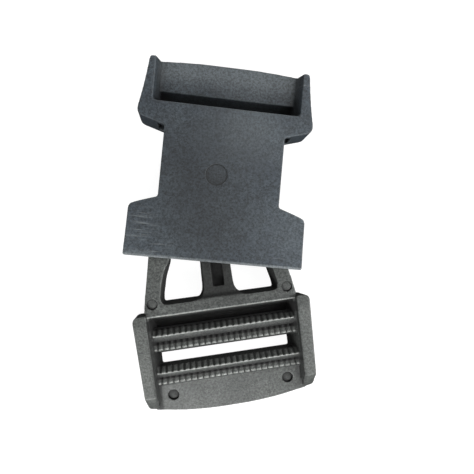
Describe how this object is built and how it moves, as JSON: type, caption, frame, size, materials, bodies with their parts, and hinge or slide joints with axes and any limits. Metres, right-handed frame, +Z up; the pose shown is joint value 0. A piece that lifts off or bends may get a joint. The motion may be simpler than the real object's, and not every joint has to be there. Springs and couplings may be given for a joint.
{
  "type": "side release buckle",
  "caption": "Two-part side release buckle for flat webbing: a hollow socket with a fixed webbing bar, and a plug with sprung side arms, a centre tongue and a ladder-lock webbing adjuster.",
  "frame": {"origin": "on the socket's rear face, on its centre line, 26 mm above its mouth", "axes": "+X across the socket, +Y along it from the mouth towards its webbing bar, +Z up, out of the front face"},
  "size_m": [0.0599, 0.1047, 0.0114],
  "materials": {
    "socket_plastic": "satin moulded, slightly rubbed",
    "plug_plastic": "satin moulded, slightly rubbed"
  },
  "bodies": {
    "socket": {"socket_body": "socket_plastic"},
    "plug": {"plug_frame": "plug_plastic"},
    "arm_left": {"spring_arm_left": "plug_plastic"},
    "arm_right": {"spring_arm_right": "plug_plastic"}
  },
  "joints": [
    {"name": "plug_insert", "type": "hinge", "parent": "socket", "child": "plug", "pos_m": [0.05598, -0.01567, 0], "axis": [0, 0, -1], "range_deg": [0, 12.44]},
    {"name": "arm_left_flex", "type": "hinge", "parent": "plug", "child": "arm_left", "pos_m": [-0.01677, -0.03861, 0.0057], "axis": [0, 0, -1], "range_deg": [-7, 11], "stiffness_Nm_per_rad": 0.3},
    {"name": "arm_right_flex", "type": "hinge", "parent": "plug", "child": "arm_right", "pos_m": [0.02229, -0.02999, 0.0057], "axis": [0, 0, 1], "range_deg": [-7, 11], "stiffness_Nm_per_rad": 0.3}
  ]
}
